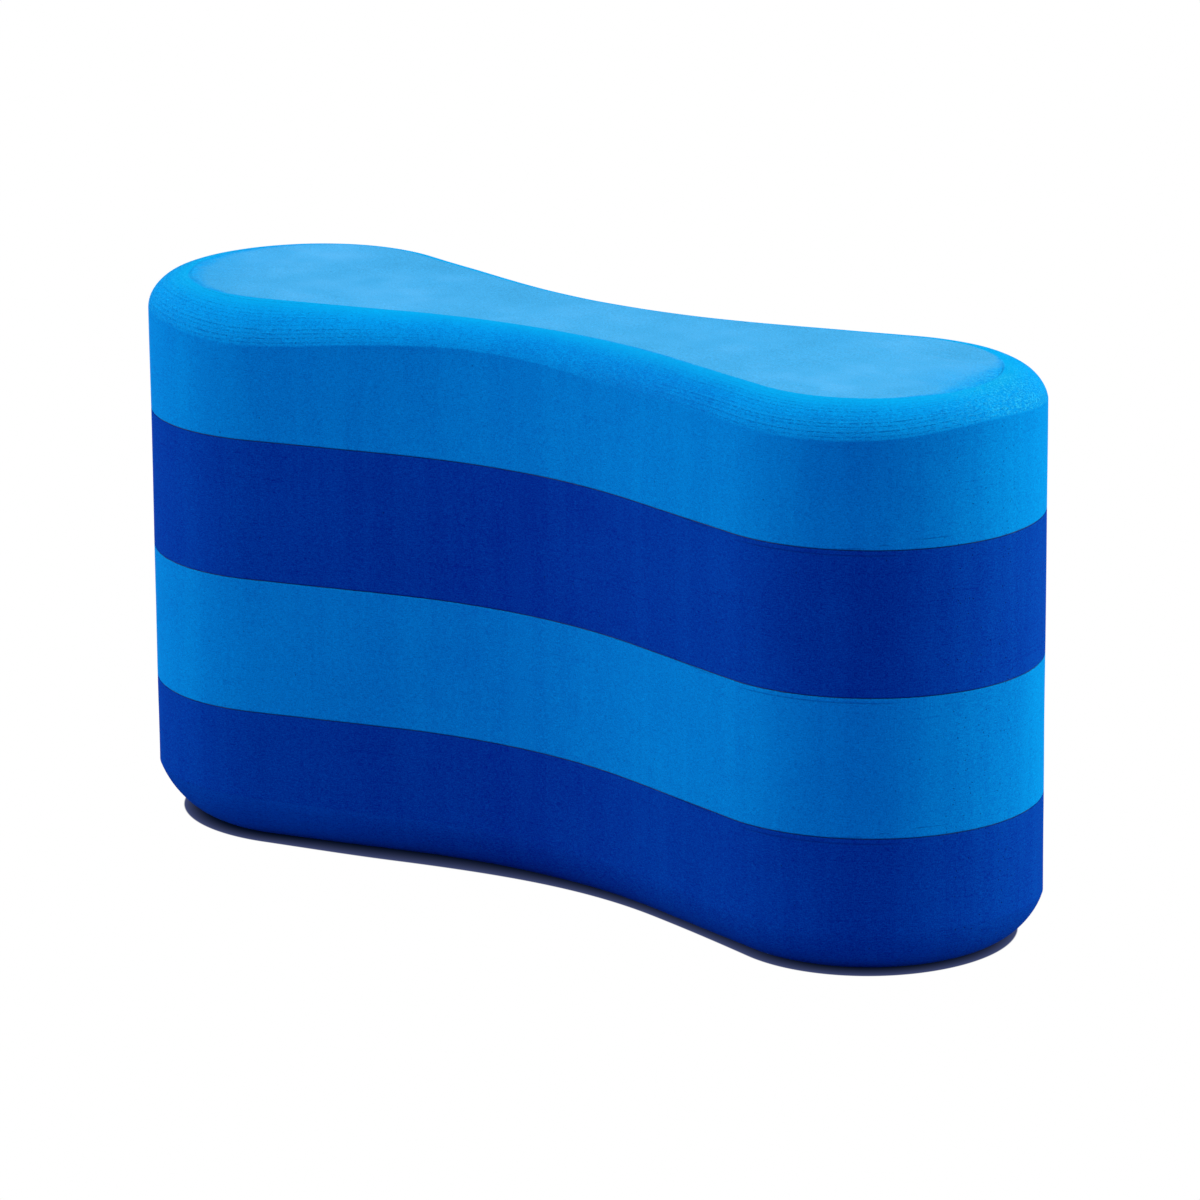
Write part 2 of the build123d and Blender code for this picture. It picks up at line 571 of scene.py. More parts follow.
class Recipe:
    """A material's nodes, with short calls that add a node and join it to the others."""

    def __init__(self, name: str) -> None:
        """Starts an empty material of that name."""
        self.material = bpy.data.materials.new(name)
        self.material.use_nodes = True
        self.tree = self.material.node_tree
        self.tree.nodes.clear()

    def add(self, kind: str, inputs: dict, **settings: object) -> bpy.types.Node:
        """Adds a node.

        Args:
            kind: the node's type.
            inputs: socket name or number to a value, or to the socket that feeds it.
            settings: the node's own properties.

        Returns:
            The new node.
        """
        node = self.tree.nodes.new(kind)
        for key, value in settings.items():
            setattr(node, key, value)
        for key, value in inputs.items():
            if isinstance(value, Socket):
                self.tree.links.new(value, node.inputs[key])
            else:
                node.inputs[key].default_value = value
        return node

    def math(self, operation: str, *values: object) -> Socket:
        """One sum of a Math node, by its operation's name."""
        return self.add("ShaderNodeMath", dict(enumerate(values)), operation=operation).outputs[0]

    def times(self, first: object, second: object) -> Socket:
        """The product of two numbers."""
        return self.math("MULTIPLY", first, second)

    def total(self, *values: object) -> Socket:
        """The sum of several numbers."""
        result = values[0]
        for value in values[1:]:
            result = self.math("ADD", result, value)
        return result

    def mark(self, name: str) -> Socket:
        """A number that the mesh carries at each point."""
        return self.add("ShaderNodeAttribute", {}, attribute_name=name).outputs["Fac"]

    def place(self) -> Socket:
        """The point's own place on the piece, in metres."""
        return self.add("ShaderNodeTexCoord", {}).outputs["Object"]

    def stretched(self, along: float, up: float) -> Socket:
        """The place with the outline rolled into a circle, in units of one size along and one up."""
        rolled = self.add("ShaderNodeAttribute", {}, attribute_name="round_place").outputs["Vector"]
        inputs = {0: rolled, 1: (1 / along, 1 / along, 1 / up)}
        return self.add("ShaderNodeVectorMath", inputs, operation="MULTIPLY").outputs[0]

    def turned(self, angle: float, size: tuple[float, float, float]) -> Socket:
        """The place turned about the vertical, in units of the size given along each axis."""
        inputs = {
            "Vector": self.place(),
            "Rotation": (0.0, 0.0, angle),
            "Scale": tuple(1 / part for part in size),
        }
        return self.add("ShaderNodeMapping", inputs, vector_type="POINT").outputs[0]

    def noise(self, grain: Grain) -> Socket:
        """The grain's soft noise, from 0 to 1."""
        if grain.up is None:
            return self.noise_at(self.place(), grain, 1 / grain.size)
        return self.noise_at(self.stretched(grain.size, grain.up), grain, 1.0)

    def noise_at(self, vector: Socket, grain: Grain, scale: float) -> Socket:
        """The grain's soft noise at a place of its own.

        Args:
            vector: where the point is.
            grain: how fine and how rough the noise is.
            scale: how many grains there are in a unit of the vector.

        Returns:
            The noise, from 0 to 1.
        """
        inputs = {
            "Vector": vector,
            "Scale": scale,
            "Detail": grain.detail,
            "Roughness": grain.roughness,
        }
        return self.add("ShaderNodeTexNoise", inputs).outputs[0]

    def swing(self, value: Socket, depth: float) -> Socket:
        """Turns noise from 0 to 1 into a change of up to depth either way."""
        return self.times(self.math("SUBTRACT", value, 0.5), 2 * depth)

    def swung(self, grain: Grain) -> Socket:
        """The grain's noise as a change of up to its own swing either way."""
        return self.swing(self.noise(grain), grain.swing)

    def step(self, value: Socket, start: float, end: float) -> Socket:
        """A smooth step from 0 at start to 1 at end."""
        inputs = {"Value": value, "From Min": start, "From Max": end}
        node = self.add("ShaderNodeMapRange", inputs, interpolation_type="SMOOTHSTEP", clamp=True)
        return node.outputs[0]

    def mask(self, grain: Grain) -> Socket:
        """Patches cut from the grain's noise: 0 where it is below its start, 1 above its end."""
        return self.step(self.noise(grain), grain.start, grain.end)

    def dots(self, vector: Socket, dots: Dots) -> Socket:
        """A mask of the dots, soft at their edges.

        Args:
            vector: where the point is.
            dots: how the dots lie.

        Returns:
            1 inside a dot and 0 between them.
        """
        cells = self.add("ShaderNodeTexVoronoi", {"Vector": vector, "Scale": 1 / dots.spacing})
        radius = dots.radius / dots.spacing
        inside = self.step(cells.outputs["Distance"], dots.outer * radius, dots.inner * radius)
        number = self.add("ShaderNodeSeparateColor", {0: cells.outputs["Color"]}).outputs[0]
        return self.times(inside, self.math("LESS_THAN", number, dots.share))

    def blend(self, share: Socket, first: object, second: object) -> Socket:
        """A colour that goes from the first to the second as share goes from 0 to 1."""
        inputs = {0: share} | dict(zip(MIX_COLOURS, (self._colour(first), self._colour(second))))
        return self.add("ShaderNodeMix", inputs, data_type="RGBA").outputs[2]

    def number(self, share: Socket, first: Socket, second: Socket) -> Socket:
        """A number that goes from the first to the second as share goes from 0 to 1."""
        inputs = {0: share} | dict(zip(MIX_NUMBERS, (first, second)))
        return self.add("ShaderNodeMix", inputs, data_type="FLOAT").outputs[0]

    def inked(self, colour: Socket, *inks: tuple[Socket, float, Colour]) -> Socket:
        """A colour under several inks, each a mask, its strength and its own colour, in order."""
        for mask, strength, ink in inks:
            colour = self.blend(self.times(mask, strength), colour, ink)
        return colour

    def relief(self, *layers: tuple[Socket, float]) -> Socket:
        """The sum of several layers of relief, each a mask and its height in metres."""
        return self.total(*(self.times(mask, height) for mask, height in layers))

    def shade(self, colour: Colour, factor: Socket) -> Socket:
        """A colour made darker or lighter by a factor about 1."""
        inputs = {0: tuple(colour), "Scale": factor}
        return self.add("ShaderNodeVectorMath", inputs, operation="SCALE").outputs[0]

    @staticmethod
    def _colour(value: object) -> object:
        """A colour socket's value: four numbers, or the socket that feeds it."""
        return value if isinstance(value, Socket) else (*value, 1.0)

    def finish(self, colour: Socket, roughness: Socket, height: Socket, **constants: float) -> None:
        """Joins the surface to the output.

        Args:
            colour: the base colour.
            roughness: the roughness.
            height: the relief in metres.
            constants: values of the shader's other sockets, with _ for each space.
        """
        bump = self.add("ShaderNodeBump", {"Height": height, "Strength": 1.0, "Distance": 1.0})
        inputs = {"Base Color": colour, "Roughness": roughness, "Normal": bump.outputs[0]}
        inputs |= {key.replace("_", " "): value for key, value in constants.items()}
        shader = self.add("ShaderNodeBsdfPrincipled", inputs)
        self.add("ShaderNodeOutputMaterial", {"Surface": shader.outputs[0]})


@dataclass(frozen=True)
class CutFoam:
    """Cut cells of closed-cell foam: their mottling, and what the saw and the tools left on them.

    The tones lie between 0, the foam's deep colour, and 1, its bright one. The shares say how far
    a mark takes the colour to its own, the heights how proud it stands, and the spans where it
    sets in and is whole.
    """

    # mottling, faint upright stripes of the saw, and broken lines along it
    middle_tone: float = 0.5
    fine: Grain = Grain(0.28 * MM, roughness=0.6)
    medium: Grain = Grain(0.9 * MM, swing=0.07)
    dashes: Grain = Grain(0.9 * MM, 0.24 * MM, swing=0.4)
    clouds: Grain = Grain(16 * MM, detail=3.0, swing=0.1)
    upright: Grain = Grain(7 * MM, 90 * MM, swing=0.045, start=0.5, end=0.515)
    upright_step: float = 0.02
    level: Grain = Grain(26 * MM, 0.55 * MM, start=0.6, end=0.72)
    broken: Grain = Grain(1.1 * MM, 0.6 * MM, detail=1.0, start=0.4, end=0.6)
    line_tone: float = -0.14

    # roundings: cells that the tool drew out, and painted light near the skin, where the rounding
    # turns up to the light above
    drawn: Grain = Grain(0.95 * MM, 0.26 * MM, start=0.5, end=0.66)
    painted_light_reach: float = 7 * MM
    painted_light_share: float = 0.6

    # pits and light specks, the tool's rows as beads, scores, torn flakes and the seam at the glue
    pits: Dots = Dots(4.6 * MM, 0.17 * MM, share=0.5)
    coarse_pits: Dots = Dots(1.3 * MM, 0.16 * MM, share=0.6)
    pit_share: float = 0.75
    specks: Dots = Dots(5.5 * MM, 0.15 * MM, share=0.4)
    speck_turn: float = 0.8
    speck_share: float = 0.35
    beads: Grain = Grain(0.6 * MM, 0.4 * MM, detail=1.0, start=0.42, end=0.58)
    row_span: tuple[float, float] = (0.12, 0.85)
    row_share: float = 0.38
    lip_span: tuple[float, float] = (-0.08, -0.45)
    lip_share: float = 0.1
    score_span: tuple[float, float] = (0.28 * MM, 0.05 * MM)
    score_share: float = 0.32
    flakes: Grain = Grain(0.75 * MM, 0.45 * MM, detail=3.0, roughness=0.7, start=0.47, end=0.62)
    torn_share: float = 0.5
    fibres: Grain = Grain(0.35 * MM, detail=3.0, swing=0.22 * MM)
    seam_width: float = 0.16 * MM
    seam_share: float = 0.36

    # relief and roughness
    fine_height: float = 0.035 * MM
    pit_height: float = -0.12 * MM
    row_height: float = -0.06 * MM
    drawn_height: float = -0.03 * MM
    line_height: float = -0.02 * MM
    torn_height: float = 0.08 * MM
    score_height: float = -0.05 * MM
    rough: Grain = Grain(4 * MM, swing=0.05)
    roughness: float = 0.88


@dataclass(frozen=True)
class FoamSkin:
    """The smooth skin of a sheet's outer face: bloom, pits and scratches, and its ragged border.

    The skin ends about the rounding's edge. Where it is scuffed, patches and crumbs move its
    border back, blur it and thin the skin behind it.
    """

    # colour
    clouds: Grain = Grain(34 * MM, detail=3.0, swing=0.14, start=0.3, end=0.75)
    patches: Grain = Grain(12 * MM, detail=5.0, roughness=0.6, swing=0.08, start=0.3, end=0.75)
    fine: Grain = Grain(0.4 * MM, swing=0.2)
    speckle: Grain = Grain(0.28 * MM, roughness=0.7, swing=0.5)
    pits: Dots = Dots(5.2 * MM, 0.2 * MM, share=0.45)
    pit_share: float = 0.6
    scratches: Grain = Grain(0.22 * MM, detail=1.0, start=0.66, end=0.74)
    scratch_length: float = 9 * MM
    scratch_turn: float = 0.35
    scratch_share: float = 0.3
    scratched_span: tuple[float, float] = (0.02, 0.09)

    # roughness and relief
    roughness: float = 0.58
    roughness_swing: float = 0.12
    hollows: Grain = Grain(5 * MM, detail=3.0)
    hollow_height: float = 0.12 * MM
    fine_height: float = 0.01 * MM
    pit_height: float = -0.12 * MM

    # the border
    ragged: Grain = Grain(0.9 * MM, detail=3.0, swing=0.3 * MM)
    worn: Grain = Grain(5 * MM, detail=5.0, roughness=0.65, swing=3.0)
    crumbs: Grain = Grain(0.5 * MM, detail=3.0, roughness=0.6, swing=1.1)
    worn_middle: float = -0.75
    worn_back: float = 3 * MM
    fading: float = 12 * MM
    sharp: float = 0.25 * MM
    border_span: tuple[float, float] = (-0.3, 0.7)
    thinned: float = 0.5
    patch_thinning: float = 0.12
    most_thinned: float = 0.9


@dataclass(frozen=True)
class FoamFinish:
    """Closed-cell foam of one colour, with or without a skin on the sheet's outer face.

    grain is how strongly the fine cells mottle it, and drawn_share how dark the cells are that the
    tool drew out on a rounding.
    """

    name: str
    deep: Colour
    bright: Colour
    pore: Colour
    torn: Colour
    skin: Colour
    bloom: Colour
    painted_rounding_light: Colour
    grain: float = 1.7
    bloom_share: float = 0.2
    drawn_share: float = 0.22
    has_skin: bool = False
    cut: CutFoam = CutFoam()
    outer: FoamSkin = FoamSkin()
    sheen: float = 0.03

    def material(self) -> bpy.types.Material:
        """Mixes cut foam and skin at the ragged border of the outer face."""
        recipe = Recipe(self.name)
        colour, height = self._cut_foam(recipe)
        roughness = recipe.total(recipe.swung(self.cut.rough), self.cut.roughness)
        if self.has_skin:
            share = self._skin_share(recipe)
            skin_colour, skin_height, skin_roughness = self._skin(recipe)
            colour = recipe.blend(share, colour, skin_colour)
            height = recipe.number(share, height, skin_height)
            roughness = recipe.number(share, roughness, skin_roughness)
        recipe.finish(colour, roughness, height, Specular_IOR_Level=self.sheen)
        return recipe.material

    def _skin_share(self, recipe: Recipe) -> Socket:
        """How much of the skin is left: it ends at the rounding, and dissolves where it is scuffed.

        Args:
            recipe: the material that it goes into.

        Returns:
            1 on the skin and 0 on cut foam.
        """
        skin, scuff = self.outer, recipe.mark("scuff")
        patches, crumbs = recipe.swung(skin.worn), recipe.swung(skin.crumbs)
        back = recipe.times(recipe.total(skin.worn_middle, patches, crumbs), skin.worn_back)
        past_face = recipe.mark("past_face")
        border = recipe.total(recipe.swung(skin.ragged), past_face, recipe.times(back, scuff))
        width = recipe.total(recipe.times(scuff, skin.fading), skin.sharp)
        left = recipe.step(recipe.math("DIVIDE", border, width), *skin.border_span)
        patches = recipe.times(patches, skin.patch_thinning)
        thin = recipe.times(recipe.total(skin.thinned, patches, crumbs), scuff)
        thin = recipe.math("MINIMUM", recipe.math("MAXIMUM", thin, 0.0), skin.most_thinned)
        return recipe.times(left, recipe.math("SUBTRACT", 1.0, thin))

    def _cut_foam(self, recipe: Recipe) -> tuple[Socket, Socket]:
        """Colour and relief of cut cells, pits, specks, tool rows, scores and torn places.

        Args:
            recipe: the material that it goes into.

        Returns:
            The colour and the height in metres.
        """
        cut, place, tooling = self.cut, recipe.place(), recipe.mark("tooling")
        fine, upright = recipe.noise(cut.fine), recipe.noise(cut.upright)
        stripes = recipe.step(upright, cut.upright.start, cut.upright.end)
        lines = recipe.times(recipe.mask(cut.level), recipe.mask(cut.broken))
        drawn = recipe.times(recipe.mask(cut.drawn), recipe.mark("rounded"))
        tone = recipe.total(
            cut.middle_tone,
            recipe.swing(fine, self.grain / 2),
            recipe.swung(cut.medium),
            recipe.swung(cut.dashes),
            recipe.swung(cut.clouds),
            recipe.swing(upright, cut.upright.swing),
            recipe.swing(stripes, cut.upright_step),
            recipe.times(lines, cut.line_tone),
            recipe.times(drawn, -self.drawn_share),
            # tone also carries painted shade in the waist's hollow and painted light and shade on the
            # roundings
            recipe.mark("tone"),
        )
        # painted light: the rounding lighter near the skin, fading towards the wall
        painted_rounding_light = recipe.step(recipe.mark("past_face"), -cut.painted_light_reach, 0.0)
        painted_rounding_light = recipe.times(painted_rounding_light, recipe.mark("rounded"))
        coarse_pits = recipe.times(recipe.dots(place, cut.coarse_pits), recipe.mark("coarse"))
        pits = recipe.math("MAXIMUM", recipe.dots(place, cut.pits), coarse_pits)
        specks = recipe.dots(recipe.turned(cut.speck_turn, (1.0, 1.0, 1.0)), cut.specks)
        rows = recipe.times(recipe.step(tooling, *cut.row_span), recipe.mask(cut.beads))
        lips = recipe.step(tooling, *cut.lip_span)
        scored = recipe.step(recipe.mark("score_gap"), *cut.score_span)
        scored = recipe.times(scored, recipe.mark("score_weight"))
        torn = recipe.times(recipe.mask(cut.flakes), recipe.mark("scuff"))
        from_glue = recipe.total(recipe.mark("from_glue"), recipe.swung(cut.fibres))
        colour = recipe.inked(
            recipe.blend(tone, self.deep, self.bright),
            (painted_rounding_light, cut.painted_light_share, self.painted_rounding_light),
            (pits, cut.pit_share, self.pore),
            (specks, cut.speck_share, self.torn),
            (rows, cut.row_share, self.pore),
            (lips, cut.lip_share, self.torn),
            (scored, cut.score_share, self.pore),
            (torn, cut.torn_share, self.torn),
            (recipe.step(from_glue, cut.seam_width, 0.0), cut.seam_share, self.pore),
        )
        height = recipe.relief(
            (fine, cut.fine_height),
            (pits, cut.pit_height),
            (rows, cut.row_height),
            (drawn, cut.drawn_height),
            (lines, cut.line_height),
            (torn, cut.torn_height),
            (scored, cut.score_height),
        )
        return colour, height

    def _skin(self, recipe: Recipe) -> tuple[Socket, Socket, Socket]:
        """Colour, relief and roughness of the sheet's moulded skin.

        Args:
            recipe: the material that it goes into.

        Returns:
            The colour, the height in metres and the roughness.
        """
        skin, place = self.outer, recipe.place()
        clouds, patches, fine = (
            recipe.noise(grain) for grain in (skin.clouds, skin.patches, skin.fine)
        )
        bloom = recipe.times(
            recipe.step(clouds, skin.clouds.start, skin.clouds.end),
            recipe.step(patches, skin.patches.start, skin.patches.end),
        )
        tone = recipe.total(
            1.0,
            recipe.swing(clouds, skin.clouds.swing),
            recipe.swing(patches, skin.patches.swing),
            recipe.swing(fine, skin.fine.swing),
            recipe.swung(skin.speckle),
        )
        pits = recipe.dots(place, skin.pits)
        size = (skin.scratch_length, skin.scratches.size, skin.scratch_length)
        scratches = recipe.noise_at(recipe.turned(skin.scratch_turn, size), skin.scratches, 1.0)
        scratches = recipe.step(scratches, skin.scratches.start, skin.scratches.end)
        along = recipe.add("ShaderNodeSeparateXYZ", {0: place}).outputs[0]
        scratches = recipe.times(scratches, recipe.step(along, *skin.scratched_span))
        colour = recipe.inked(
            recipe.shade(self.skin, tone),
            (bloom, self.bloom_share, self.bloom),
            (pits, skin.pit_share, self.pore),
            (scratches, skin.scratch_share, self.bloom),
        )
        roughness = recipe.total(recipe.swing(patches, skin.roughness_swing), skin.roughness)
        height = recipe.relief(
            (recipe.noise(skin.hollows), skin.hollow_height),
            (fine, skin.fine_height),
            (pits, skin.pit_height),
        )
        return colour, height, roughness


@dataclass(frozen=True)
class GlueFinish:
    """Dried contact adhesive: dark, uneven and a little glossy, with torn foam fibres in it."""

    name: str
    glue: Colour
    fibre: Colour
    blots: Grain = Grain(1.6 * MM, detail=4.0, roughness=0.65, swing=0.5)
    fibres: Grain = Grain(0.5 * MM, detail=3.0, start=0.55, end=0.7)
    fibre_share: float = 0.5
    roughness: float = 0.6
    roughness_swing: float = 0.25
    blot_height: float = 0.05 * MM
    sheen: float = 0.3

    def material(self) -> bpy.types.Material:
        """Dark glue whose blots change its tone, gloss and height, with the fibres over it."""
        recipe = Recipe(self.name)
        blots = recipe.noise(self.blots)
        tone = recipe.total(1.0, recipe.swing(blots, self.blots.swing))
        fibres = (recipe.mask(self.fibres), self.fibre_share, self.fibre)
        colour = recipe.inked(recipe.shade(self.glue, tone), fibres)
        roughness = recipe.total(recipe.swing(blots, self.roughness_swing), self.roughness)
        height = recipe.times(blots, self.blot_height)
        recipe.finish(colour, roughness, height, Specular_IOR_Level=self.sheen)
        return recipe.material


def put_mark(mesh: bpy.types.Mesh, name: str, values: np.ndarray) -> None:
    """Puts a number, or a place in three columns, on each point of a mesh."""
    kind, key = ("FLOAT_VECTOR", "vector") if values.ndim == 2 else ("FLOAT", "value")
    attribute = mesh.attributes.new(name, kind, "POINT")
    attribute.data.foreach_set(key, values.astype(np.float32).ravel())


def bands_of_quads(rows: int, columns: int) -> np.ndarray:
    """Quads between closed rings of points, each row's points after those of the row below."""
    number = np.arange(rows * columns).reshape(rows, columns)
    after = np.roll(number, -1, axis=1)
    quads = np.stack([number[:-1], after[:-1], after[1:], number[1:]], axis=-1)
    return quads.reshape(-1, 4)


@dataclass
class Shell:
    """A closed sheet: rings of points one above another, and a ruled face over each end ring."""

    outline: Outline
    points: np.ndarray
    marks: dict[str, np.ndarray]
    scuffing: tuple[Swell, ...] = ()
    scuffed_depth: float = 0.024

    def _face(self, ring: np.ndarray, start: int, across: int) -> tuple[np.ndarray, np.ndarray]:
        """A flat face ruled straight across between opposite points of a ring.

        Args:
            ring: numbers of the ring's points, in the order of their runs.
            start: number of the first new point.
            across: how many cells each ruling has.

        Returns:
            Numbers of the grid's points, from the +X tip to the -X tip and from front to back,
            and the new points.
        """
        count = ring.size
        half = count // 2
        column = np.arange(half + 1)
        front = ring[(count // 4 - column) % count]
        back = ring[(count // 4 + column) % count]
        share = np.arange(1, across) / across
        coordinates = self.points.reshape(-1, 3)
        near, far = coordinates[front[1:-1]][:, None], coordinates[back[1:-1]][:, None]
        inner = near + (far - near) * share[None, :, None]
        grid = np.empty((half + 1, across + 1), int)
        grid[:, 0], grid[:, -1] = front, back
        grid[1:-1, 1:-1] = start + np.arange((half - 1) * (across - 1)).reshape(half - 1, -1)
        grid[0, :], grid[-1, :] = front[0], front[-1]
        return grid, inner.reshape(-1, 3)

    @staticmethod
    def _cells(grid: np.ndarray, upward: bool) -> list[list[int]]:
        """The quads of a ruled grid, with triangles where its first and last columns meet."""
        a, b = grid[:-1, :-1], grid[:-1, 1:]
        c, d = grid[1:, 1:], grid[1:, :-1]
        quads = np.stack([a, b, c, d], axis=-1)
        first = np.stack([a[0], c[0], d[0]], axis=-1)
        last = np.stack([a[-1], b[-1], c[-1]], axis=-1)
        order = slice(None) if upward else slice(None, None, -1)
        groups = [quads[1:-1].reshape(-1, 4), first, last]
        return [face for group in groups for face in group[:, order].tolist()]

    def mesh(
        self, name: str, across: tuple[int, int], unevenness: "Unevenness | None" = None
    ) -> bpy.types.Mesh:
        """Joins the rings and the two faces into one closed mesh.

        Args:
            name: the mesh's name.
            across: cells across the underside and across the top.
            unevenness: how far the faces depart from flat, or None.

        Returns:
            The mesh, smooth, with its marks as attributes of its points.
        """
        rows, columns = self.points.shape[:2]
        side, first = bands_of_quads(rows, columns), np.arange(columns)
        low_grid, low = self._face(first, rows * columns, across[0])
        last = first + (rows - 1) * columns
        high_grid, high = self._face(last, rows * columns + len(low), across[1])
        inner = np.vstack([low, high])
        if unevenness is not None:
            inner = unevenness.laid_on(self.outline, inner)
        points = np.vstack([self.points.reshape(-1, 3), inner])
        faces = side.tolist() + self._cells(low_grid, False) + self._cells(high_grid, True)
        mesh = bpy.data.meshes.new(name)
        mesh.from_pydata(points, [], faces)
        mesh.polygons.foreach_set("use_smooth", np.ones(len(mesh.polygons), bool))
        for mark, values in self.marks.items():
            self._carry(mesh, mark, values, inner)
        mesh.update()
        return mesh

    def _carry(self, mesh: bpy.types.Mesh, mark: str, values: np.ndarray, inner: np.ndarray) -> None:
        """Puts one mark on the mesh's points.

        Inside a face past_face is the depth past the border of the skin, and scuff fades with that
        depth. from_glue and score_gap are far, and the others are 0.

        Args:
            mesh: the mesh.
            mark: the mark's name.
            values: the mark on the rings, one number or one place at each point.
            inner: the points inside the faces.
        """
        if values.ndim == 3:
            put_mark(mesh, mark, np.vstack([values.reshape(-1, 3), inner]))
            return
        rest = np.zeros(len(inner))
        depth = self.outline.depth(inner[:, 0], inner[:, 1])
        if mark == "past_face":
            border = TOP_EDGE_INSET if values.max() > 0 else 0.0
            rest = np.maximum(depth - border, GUARD)
        if mark == "scuff":
            run = self.outline.nearest_run(inner[:, 0], inner[:, 1])
            worn = smooth_step(depth - TOP_EDGE_INSET, self.scuffed_depth, 0.0)
            rest = swells(self.outline, run, self.scuffing) * worn
        if mark in ("from_glue", "score_gap"):
            rest += FAR
        put_mark(mesh, mark, np.concatenate([values.ravel(), rest]))


@dataclass(frozen=True)
class Unevenness:
    """Gentle hollows of a moulded face: sine waves in all directions that die out at its border."""

    depth: float = 0.09 * MM
    waves: int = 9
    longest: float = 0.09
    shortest: float = 0.022
    border: float = 0.012
    seed: int = 23

    def laid_on(self, outline: Outline, points: np.ndarray) -> np.ndarray:
        """Sinks points by the waves' sum times how far they are inside the border.

        Args:
            outline: the outline that the face lies in.
            points: the face's points.

        Returns:
            The moved points.
        """
        random = np.random.default_rng(self.seed)
        lengths = random.uniform(self.shortest, self.longest, self.waves)
        ways = random.uniform(0.0, 2 * pi, self.waves)
        phases = random.uniform(0.0, 2 * pi, self.waves)
        along = points[:, 0, None] * np.cos(ways) + points[:, 1, None] * np.sin(ways)
        height = np.sin(2 * pi * along / lengths + phases).sum(axis=1) / np.sqrt(self.waves)
        inside = smooth_step(outline.depth(points[:, 0], points[:, 1]), self.border, 2 * self.border)
        moved = points.copy()
        moved[:, 2] -= self.depth * inside * (1.0 + height)
        return moved


